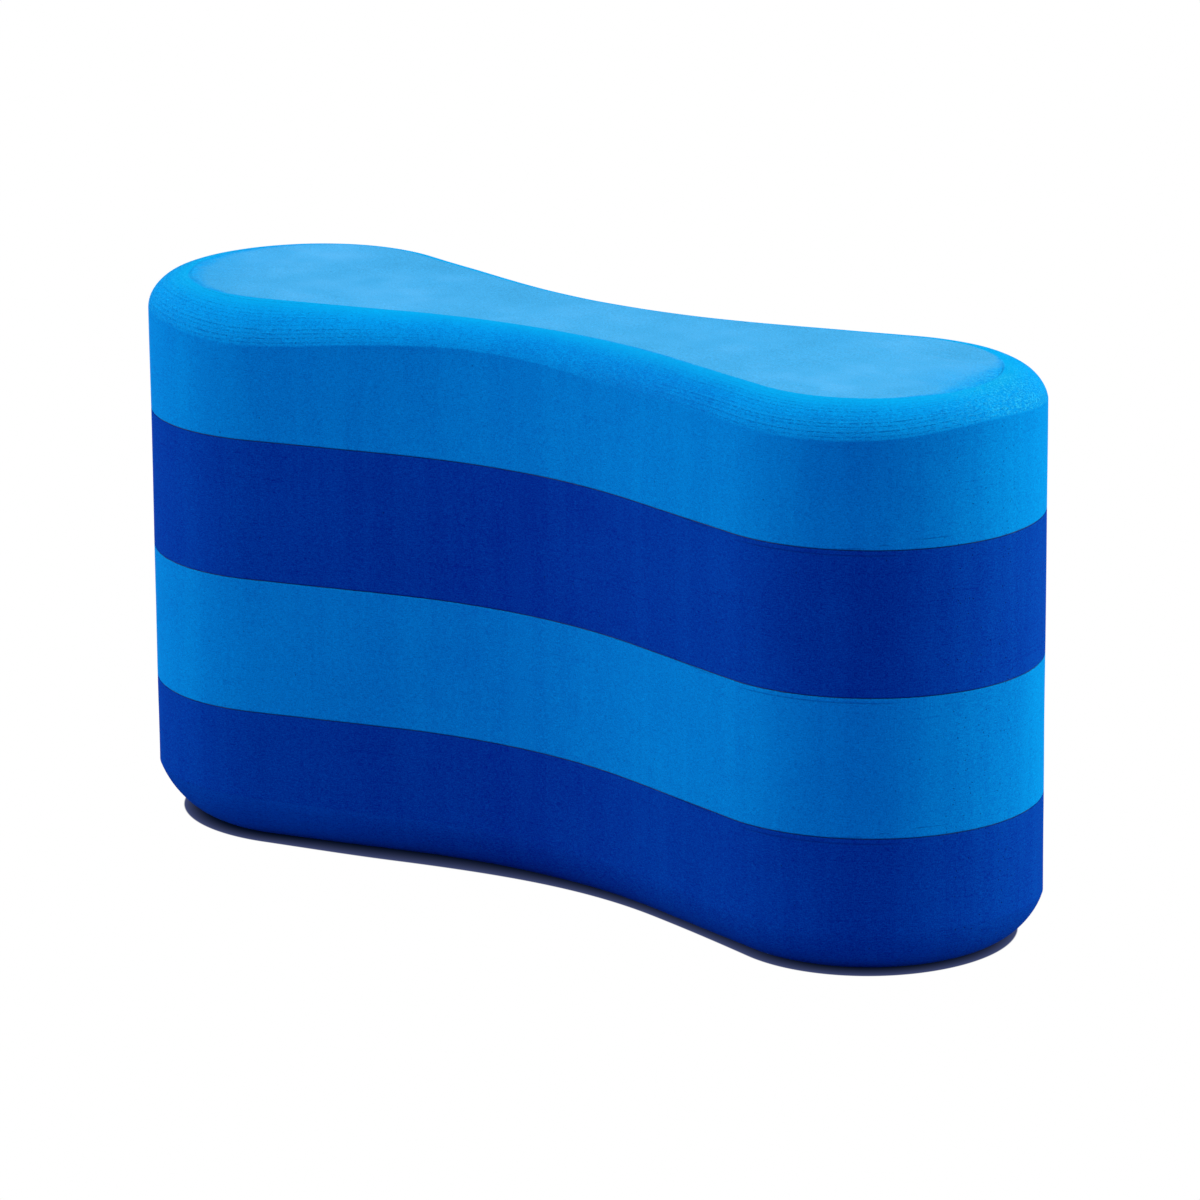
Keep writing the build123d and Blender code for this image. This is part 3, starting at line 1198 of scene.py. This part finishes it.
@dataclass
class FoamSheet:
    """One sheet of the stack, cut to the outline, with its two edges and its finish.

    tone_and_painted_shade says where the foam is lighter or darker all the way up, with painted
    shade in the hollow of the waist, painted_edge_light where it is lighter or darker on a
    rounding as painted light and shade, and coarse_from and coarse_to between which runs it has
    coarse pits.
    """

    node: str
    slot: Slot
    finish: FoamFinish
    outline: Outline
    lower_edge: GluedEdge | RoundedEdge = GluedEdge()
    upper_edge: GluedEdge | RoundedEdge = GluedEdge()
    lower_score: Score | None = None
    upper_score: Score | None = None
    tone_and_painted_shade: tuple[Swell, ...] = ()
    painted_edge_light: tuple[Swell, ...] = ()
    ripple: Ripple = Ripple()
    coarse_from: float = 0.123
    coarse_to: float = 0.150
    coarse_rise: float = 1 * MM
    coarse_fall: float = 10 * MM
    across_hidden: int = 8
    across_shown: int = 44

    def _rows(self) -> Shell:
        """The side of the sheet as rings, with what the finish needs to know at each point.

        The wall's rows share out the height between the two edges' creases evenly, with one more
        row close to each crease. A ring lies inward of the outline by its own amount, along the
        outline's normal, less the ripple. The rolled place is a point of a circle as long round
        as the outline, at the angle of the run, with the way up the side as its height.

        Returns:
            The rings of the sheet, and the marks that it carries.
        """
        low, high = (corner.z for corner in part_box(self.node))
        outline, run = self.outline, self.outline.columns()
        below, above = self.lower_edge.band(outline, run), self.upper_edge.band(outline, run)
        wall_low = low + self.lower_edge.reach(outline, run)
        wall_high = high - self.upper_edge.reach(outline, run)
        tall = wall_high - wall_low
        share = np.linspace(0.0, 1.0, int(round(float(tall.mean()) / WALL_ROW)) + 1)[1:-1, None]
        wall = np.vstack([wall_low + GUARD, wall_low + share * tall, wall_high - GUARD])
        none = np.zeros_like(wall)

        def stacked(name: str, middle: np.ndarray) -> np.ndarray:
            """One number of the two edges, with its values on the wall between them."""
            return np.vstack([getattr(below, name)[::-1], middle, getattr(above, name)])

        height = np.vstack([low + below.away[::-1], wall, high - above.away])
        arc = np.vstack([wall_low - below.arc[::-1], wall, wall_high + above.arc])
        inward = stacked("inward", none) - self.ripple.at(outline, run, height)
        turn = outline.turn(run)
        rolled = outline.whole / (2 * pi) * np.stack([np.cos(turn), np.sin(turn)], axis=-1)
        rolled = np.broadcast_to(rolled[None], (*arc.shape, 2))
        marks = {name: stacked(name, none) for name in ("tooling", "scuff", "rounded")}
        marks |= {
            "past_face": stacked("past_face", none - FAR),
            "from_glue": self._from_glue(height, low, high),
            "coarse": np.broadcast_to(self._coarse(outline.wrap(run))[None], height.shape),
            "tone": self._tone(run, marks["rounded"]),
            "round_place": np.concatenate([rolled, arc[..., None]], axis=-1),
        }
        marks |= self._scores(height, low, high)
        scuffing = self.upper_edge.scuffing if isinstance(self.upper_edge, RoundedEdge) else ()
        return Shell(outline, outline.rings(run, inward, height), marks, scuffing)

    def _coarse(self, way: np.ndarray) -> np.ndarray:
        """How much of the coarse pits the foam has at each way."""
        begun = smooth_step(way, self.coarse_from, self.coarse_from + self.coarse_rise)
        return begun * smooth_step(way, self.coarse_to, self.coarse_to - self.coarse_fall)

    def _tone(self, run: np.ndarray, rounded: np.ndarray) -> np.ndarray:
        """How much lighter than usual the foam is at each point, all the way up and on a rounding,
        with painted shade in the waist's hollow and painted light and shade on the roundings.
        """
        everywhere = swells(self.outline, run, self.tone_and_painted_shade)[None]
        return everywhere + rounded * swells(self.outline, run, self.painted_edge_light)[None]

    def _from_glue(self, height: np.ndarray, low: float, high: float) -> np.ndarray:
        """How far each point is from the nearer glued edge."""
        ways = [np.full_like(height, FAR)]
        if isinstance(self.lower_edge, GluedEdge):
            ways.append(height - low)
        if isinstance(self.upper_edge, GluedEdge):
            ways.append(high - height)
        return np.minimum.reduce(ways)

    def _scores(self, height: np.ndarray, low: float, high: float) -> dict[str, np.ndarray]:
        """How far each point is from the score in its half of the sheet, and the score's strength.

        Args:
            height: heights, rows by columns.
            low: the sheet's underside.
            high: the sheet's top.

        Returns:
            The two marks.
        """
        way = self.outline.wrap(self.outline.columns())
        gap, weight = np.full_like(height, FAR), np.zeros_like(height)
        upper_half = height > (low + high) / 2
        for score, edge, half in (
            (self.lower_score, height - low, ~upper_half),
            (self.upper_score, high - height, upper_half),
        ):
            if score is not None:
                gap = np.where(half, np.abs(edge - score.place(way)[None]), gap)
                weight = np.where(half, score.weight(way)[None], weight)
        return {"score_gap": gap, "score_weight": weight}

    def build(self) -> bpy.types.Object:
        """Makes the sheet, dresses it and sets it in the frame for its solid."""
        shown = [isinstance(edge, RoundedEdge) for edge in (self.lower_edge, self.upper_edge)]
        across = tuple(self.across_shown if face else self.across_hidden for face in shown)
        unevenness = Unevenness() if shown[1] else None
        mesh = self._rows().mesh(f"{self.node}_foam", across, unevenness)
        mesh.materials.append(self.finish.material())
        piece = set_in_frame(mesh, self.node)
        return piece


@dataclass
class GlueFilm:
    """One film of contact adhesive, squeezed out unevenly between two sheets."""

    node: str
    finish: GlueFinish
    outline: Outline
    seed: int
    setback: float = 0.14 * MM
    least_setback: float = 0.02 * MM
    unevenness: float = 0.05 * MM
    bulge: float = 0.04 * MM
    waves: int = 10
    fewest_turns: int = 40
    most_turns: int = 120
    across: tuple[int, int] = (6, 6)

    def build(self) -> bpy.types.Object:
        """Makes the film: three rings whose setback swings with a sum of waves round the outline."""
        low, high = (corner.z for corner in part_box(self.node))
        run = self.outline.columns()
        random = np.random.default_rng(self.seed)
        turns = random.integers(self.fewest_turns, self.most_turns, self.waves)
        phases = random.uniform(0.0, 2 * pi, self.waves)
        angle = self.outline.turn(run)[:, None] * turns + phases
        swing = self.unevenness * np.sin(angle).sum(axis=1) / np.sqrt(self.waves)
        bead = np.array([0.0, -self.bulge, 0.0])[:, None]
        inward = np.clip(self.setback + swing[None] + bead, self.least_setback, None)
        height = np.linspace(low, high, bead.size)[:, None] + np.zeros_like(run)[None]
        shell = Shell(self.outline, self.outline.rings(run, inward, height), {})
        mesh = shell.mesh(f"{self.node}_film", self.across)
        mesh.materials.append(self.finish.material())
        return set_in_frame(mesh, self.node)


def placed(data: bpy.types.ID) -> bpy.types.Object:
    """A new object of the scene that shows a mesh, light or camera and has its name."""
    thing = bpy.data.objects.new(data.name, data)
    bpy.context.scene.collection.objects.link(thing)
    return thing


def set_in_frame(mesh: bpy.types.Mesh, node: str) -> bpy.types.Object:
    """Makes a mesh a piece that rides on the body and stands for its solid.

    Args:
        mesh: the finished mesh, in place.
        node: the solid that it stands for.

    Returns:
        The piece.
    """
    piece = placed(mesh)
    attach(piece, Body.BUOY.value)
    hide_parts(node)
    return piece


@dataclass
class PullBuoy:
    """The whole stack: four sheets and the three glue films between them."""

    light: FoamFinish = FoamFinish(
        name="light_blue_cut_foam",
        deep=(0.0, 0.21, 0.61),
        bright=(0.0, 0.51, 0.94),
        pore=(0.0, 0.06, 0.26),
        torn=(0.05, 0.74, 0.95),
        skin=(0.064, 0.445, 0.725),
        bloom=(0.26, 0.60, 0.84),
        painted_rounding_light=(0.0, 0.47, 0.77),
    )
    dark: FoamFinish = FoamFinish(
        name="dark_blue_cut_foam",
        deep=(0.0, 0.014, 0.29),
        bright=(0.0, 0.130, 0.55),
        pore=(0.0, 0.010, 0.10),
        torn=(0.02, 0.20, 0.66),
        skin=(0.01, 0.10, 0.46),
        bloom=(0.10, 0.20, 0.52),
        painted_rounding_light=(0.0, 0.09, 0.44),
        grain=1.35,
        drawn_share=0.1,
    )
    glue: GlueFinish = GlueFinish("dried_contact_glue", (0.0, 0.045, 0.15), (0.0, 0.09, 0.30))
    first_film_seed: int = 31

    def outline(self) -> Outline:
        """The figure of eight, its length and width from the frame."""
        low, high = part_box("lower_middle_layer")
        return Outline(high.x - low.x, high.y - low.y, WAIST_WIDTH, FLANK_LENGTH)

    def top_edge(self) -> RoundedEdge:
        """The upper rounding: its crease wanders, and it is scuffed near the +X tip."""
        return RoundedEdge(
            TOP_EDGE_INSET,
            TOP_EDGE_DROP,
            TOP_EDGE_BULGE,
            drop_sway=(
                Swell(-0.072, 1.7 * MM, 0.020),
                Swell(-0.012, -2.6 * MM, 0.034),
                Swell(0.060, -1.0 * MM, 0.022),
                Swell(0.137, -2.7 * MM, 0.022),
                Swell(0.215, -1.2 * MM, 0.040),
                Swell(-0.190, -0.8 * MM, 0.030),
            ),
            line_strength=(
                Swell(-0.085, 0.62, 0.045),
                Swell(0.085, 0.65, 0.050),
                Swell(0.24, 0.2, 0.05),
            ),
            low_strength=(
                Swell(0.098, 0.4, 0.036),
                Swell(-0.05, 0.3, 0.04),
                Swell(0.19, 0.3, 0.05),
            ),
            scuffing=(
                Swell(0.150, 1.0, 0.020),
                Swell(0.03, 0.12, 0.02),
                Swell(-0.13, 0.55, 0.035),
            ),
            roundness=(
                Swell(-0.130, 0.75, 0.040),
                Swell(0.045, 0.45, 0.035),
                Swell(0.180, 0.45, 0.030),
            ),
        )

    def bottom_edge(self) -> RoundedEdge:
        """The lower rounding, with fainter rows."""
        return RoundedEdge(
            BOTTOM_EDGE_INSET,
            BOTTOM_EDGE_RISE,
            BOTTOM_EDGE_BULGE,
            drop_sway=(
                Swell(-0.09, 0.6 * MM, 0.03),
                Swell(0.18, -2.4 * MM, 0.035),
                Swell(0.26, 0.5 * MM, 0.04),
            ),
            inset_sway=(Swell(-0.13, 1.3 * MM, 0.05),),
            bulge_sway=(Swell(-0.13, -1.4 * MM, 0.05), Swell(0.175, -1.1 * MM, 0.035)),
            base_roundness=0.0,
            line_strength=(Swell(-0.10, 0.25, 0.05), Swell(0.12, 0.15, 0.05)),
            lines=ToolLines(seed=8),
        )

    def sheets(self, outline: Outline) -> list[FoamSheet]:
        """The four sheets from the bottom up."""
        under = Score(from_run=0.050, settle_run=0.082, to_run=0.117, offset=1.1 * MM)
        over = Score(0.098, settle_run=0.122, to_run=0.126, offset=2.2 * MM, fade=3 * MM)
        beside = Score(0.008, settle_run=0.014, to_run=0.049, offset=0.5 * MM, strength=0.6)
        skinned_dark = replace(self.dark, name="dark_blue_skinned_foam", has_skin=True)
        skinned_light = replace(self.light, name="light_blue_skinned_foam", has_skin=True)
        return [
            FoamSheet(
                "bottom_layer",
                Slot.DARK_FOAM,
                skinned_dark,
                outline,
                lower_edge=self.bottom_edge(),
                upper_score=under,
                # the swell at the waist is painted shade in its hollow
                tone_and_painted_shade=(Swell(0.0, -0.15, 0.030),),
                # painted light on the lower rounding, where light from the floor reaches it
                painted_edge_light=(Swell(-0.060, 0.26, 0.045), Swell(0.110, 0.06, 0.050)),
            ),
            FoamSheet(
                "lower_middle_layer",
                Slot.LIGHT_FOAM,
                self.light,
                outline,
                lower_score=over,
                upper_score=under,
                # the first swell, at the waist, is painted shade in its hollow
                tone_and_painted_shade=(Swell(0.0, -0.18, 0.030), Swell(0.138, -0.16, 0.014)),
            ),
            FoamSheet(
                "upper_middle_layer",
                Slot.DARK_FOAM,
                self.dark,
                outline,
                lower_score=beside,
                upper_score=under,
                # the swell at the waist is painted shade in its hollow
                tone_and_painted_shade=(Swell(0.0, -0.15, 0.030),),
            ),
            FoamSheet(
                "top_layer",
                Slot.LIGHT_FOAM,
                skinned_light,
                outline,
                upper_edge=self.top_edge(),
                lower_score=over,
                # the first swell, at the waist, is painted shade in its hollow
                tone_and_painted_shade=(Swell(0.010, -0.09, 0.030), Swell(0.128, -0.10, 0.014)),
                # painted light on the top rounding at the lobes, and painted shade beside the front
                # hollow
                painted_edge_light=(
                    Swell(-0.060, 0.10, 0.040),
                    Swell(0.045, -0.18, 0.024),
                    Swell(0.105, 0.10, 0.030),
                ),
            ),
        ]

    def films(self, outline: Outline) -> list[GlueFilm]:
        """The three films from the bottom up."""
        nodes = ("lower_glue_film", "middle_glue_film", "upper_glue_film")
        pairs = enumerate(nodes, self.first_film_seed)
        return [GlueFilm(node, self.glue, outline, seed) for seed, node in pairs]

    def build(self) -> None:
        """Builds every piece and reports it."""
        outline = self.outline()
        for part in (*self.sheets(outline), *self.films(outline)):
            piece = part.build()
            LOG.info("%s stands for %s: %d faces", piece.name, part.node, len(piece.data.polygons))


@dataclass(frozen=True)
class Softbox:
    """A large square light on a stand, aimed at the middle of the buoy.

    Azimuth 0 is in front of the grip face, and 90 at the +X end.
    """

    name: str
    azimuth: float
    elevation: float
    side: float
    power: float
    colour: Colour
    distance: float = 1.3

    def hang(self, aim: Vector) -> None:
        """Puts the light at its place, facing the aim."""
        data = bpy.data.lights.new(self.name, "AREA")
        data.shape = "SQUARE"
        data.size = self.side
        data.energy = self.power
        data.color = self.colour
        light = placed(data)
        around, up = radians(self.azimuth), radians(self.elevation)
        way = Vector((sin(around) * cos(up), -cos(around) * cos(up), sin(up)))
        light.location = aim + way * self.distance
        light.rotation_mode = "QUATERNION"
        light.rotation_quaternion = (-way).to_track_quat("-Z", "Y")
        light.visible_camera = False


@dataclass(frozen=True)
class ContactShade:
    """A shadow painted on the floor under the rounded lower edge, next to where the buoy stands; the
    lights don't cast it.

    Its border lies reach out from the foot of the rounding, and further where reach_sway says.
    Past the border it is gone within the share blur of that way, and the power says how late on
    the way out it turns from its darkest to its edge's colour.
    """

    reach: float = 5.4 * MM
    reach_sway: tuple[Swell, ...] = (
        Swell(-0.032, 3.7 * MM, 0.042),
        Swell(0.100, 1.7 * MM, 0.036),
    )
    first_ring: float = -3 * MM
    last_ring: float = 15 * MM
    rings: int = 10
    power: float = 2.0
    blur: float = 0.07

    def mesh(self, outline: Outline, floor_reach: float, height: float) -> bpy.types.Mesh:
        """A floor of rings side by side round the foot, a wide skirt and a plate inside.

        Each ring is parallel to the outline. The skirt's outer ring is a circle, along the rays
        from the middle. Each point carries its way out from the foot over the shade's border.

        Args:
            outline: the buoy's outline.
            floor_reach: the skirt's outer radius.
            height: the floor's height.

        Returns:
            The floor's mesh.
        """
        run = outline.columns()
        points, normals = outline.at(run)
        out = np.linspace(self.first_ring, self.last_ring, self.rings)[:, None, None]
        near = points[None] + (out - BOTTOM_EDGE_INSET) * normals[None]
        ray = near[-1] / np.linalg.norm(near[-1], axis=-1, keepdims=True)
        flat = np.concatenate([near, floor_reach * ray[None]])
        border = self.reach + swells(outline, run, self.reach_sway)
        outside = np.full_like(border, floor_reach / self.reach)
        way = np.vstack([out[..., 0] / border[None], outside[None]])
        quads = bands_of_quads(len(flat), run.size)[:, ::-1]
        heights = np.full((*flat.shape[:2], 1), height)
        mesh = bpy.data.meshes.new("studio_floor")
        places = np.concatenate([flat, heights], axis=-1).reshape(-1, 3)
        mesh.from_pydata(places, [], [*quads.tolist(), list(range(run.size))])
        put_mark(mesh, "shade_way", np.maximum(way, 0.0).ravel())
        mesh.update()
        return mesh


@dataclass(frozen=True)
class Studio:
    """A white floor with a painted shadow at the buoy's foot, soft light from above and both sides,
    and a dim bluish room.
    """

    floor_side: float = 8.0
    floor_gap: float = 0.0001
    floor_white: Colour = (1.0, 1.0, 1.0)
    painted_shadow_edge: Colour = (0.05, 0.065, 0.16)
    painted_shadow_darkest: Colour = (0.0, 0.002, 0.010)
    floor_lit: Colour = (0.17, 0.27, 0.47)
    shade: ContactShade = ContactShade()
    room: Colour = (0.09, 0.155, 0.42)
    aim: Vector = Vector((0.0, 0.0, 0.06))
    boxes: tuple[Softbox, ...] = (
        Softbox("overhead_softbox", 10.0, 84.0, side=0.9, power=8.8, colour=(1.0, 0.95, 0.86)),
        Softbox("left_softbox", -62.0, 20.0, side=0.8, power=8.0, colour=(1.0, 0.97, 1.0)),
        Softbox("right_softbox", 130.0, 24.0, side=0.8, power=13.4, colour=(1.0, 1.0, 0.88)),
    )

    def floor(self, outline: Outline) -> bpy.types.Object:
        """A wide flat floor just under the buoy, bright white but for the shadow painted at its foot.

        Light that bounces meets a dimmer floor.

        Args:
            outline: the buoy's outline.

        Returns:
            The floor.
        """
        mesh = self.shade.mesh(outline, self.floor_side / 2, -self.floor_gap)
        recipe = Recipe("white_floor")
        # painted shadow: darkest at the foot, its edge colour at the border, white past it
        way = recipe.mark("shade_way")
        later = recipe.math("POWER", way, self.shade.power)
        shade = recipe.blend(later, self.painted_shadow_darkest, self.painted_shadow_edge)
        past = recipe.step(way, 1.0, 1.0 + self.shade.blur)
        shade = recipe.blend(past, shade, self.floor_white)
        seen = recipe.add("ShaderNodeEmission", {"Color": shade, "Strength": 1.0})
        lit = recipe.add("ShaderNodeBsdfDiffuse", {"Color": (*self.floor_lit, 1.0)})
        path = recipe.add("ShaderNodeLightPath", {})
        inputs = {0: path.outputs["Is Camera Ray"], 1: lit.outputs[0], 2: seen.outputs[0]}
        both = recipe.add("ShaderNodeMixShader", inputs)
        recipe.add("ShaderNodeOutputMaterial", {"Surface": both.outputs[0]})
        mesh.materials.append(recipe.material)
        return placed(mesh)

    def room_light(self) -> None:
        """A dim bluish world, which looks white."""
        world = bpy.data.worlds.new("studio_room")
        world.use_nodes = True
        nodes, links = world.node_tree.nodes, world.node_tree.links
        nodes.clear()
        path = nodes.new("ShaderNodeLightPath")
        blend = nodes.new("ShaderNodeMix")
        blend.data_type = "RGBA"
        for number, colour in zip(MIX_COLOURS, (self.room, self.floor_white)):
            blend.inputs[number].default_value = (*colour, 1.0)
        background = nodes.new("ShaderNodeBackground")
        output = nodes.new("ShaderNodeOutputWorld")
        links.new(path.outputs["Is Camera Ray"], blend.inputs[0])
        links.new(blend.outputs[2], background.inputs["Color"])
        links.new(background.outputs[0], output.inputs["Surface"])
        bpy.context.scene.world = world

    def build(self, outline: Outline) -> None:
        """Lays the floor, hangs the lights and sets the plain view of colours."""
        self.floor(outline)
        self.room_light()
        for box in self.boxes:
            box.hang(self.aim)
        bpy.context.scene.view_settings.view_transform = "Standard"
        bpy.context.scene.view_settings.look = "None"


@dataclass(frozen=True)
class Camera:
    """A long lens from the front right, a little above the buoy.

    aside and above are how far it stands from the line through the point that it circles, and
    roll turns it about its own axis.
    """

    azimuth: float = 37.87
    elevation: float = 15.60
    roll: float = -0.41
    distance: float = 1.5444
    aside: float = 0.00318
    above: float = 0.00322
    circled: Vector = Vector((0.0, 0.0, 0.06))
    sensor: float = 36.0
    lens: float = 199.77
    clip: tuple[float, float] = (0.05, 20.0)

    def build(self) -> bpy.types.Object:
        """Places the camera: back, right and up directions from azimuth, elevation and roll."""
        around, tilt, roll = radians(self.azimuth), radians(self.elevation), radians(self.roll)
        back = Vector((sin(around) * cos(tilt), -cos(around) * cos(tilt), sin(tilt)))
        level = Vector((cos(around), sin(around), 0.0))
        upright = back.cross(level)
        right = level * cos(roll) + upright * sin(roll)
        up = upright * cos(roll) - level * sin(roll)
        data = bpy.data.cameras.new("studio_camera")
        data.sensor_width, data.lens = self.sensor, self.lens
        data.clip_start, data.clip_end = self.clip
        camera = placed(data)
        place = self.circled + back * self.distance + level * self.aside + upright * self.above
        turn = Matrix((right, up, back)).transposed().to_4x4()
        camera.matrix_world = Matrix.Translation(place) @ turn
        bpy.context.scene.camera = camera
        return camera


def main() -> None:
    """Sets the camera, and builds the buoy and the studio."""
    logging.basicConfig(level=logging.INFO, format="%(name)s: %(message)s")
    camera = Camera().build()
    LOG.info("camera at %s", tuple(round(part, 3) for part in camera.location))
    buoy = PullBuoy()
    buoy.build()
    Studio().build(buoy.outline())


if __name__ == "__main__":
    main()
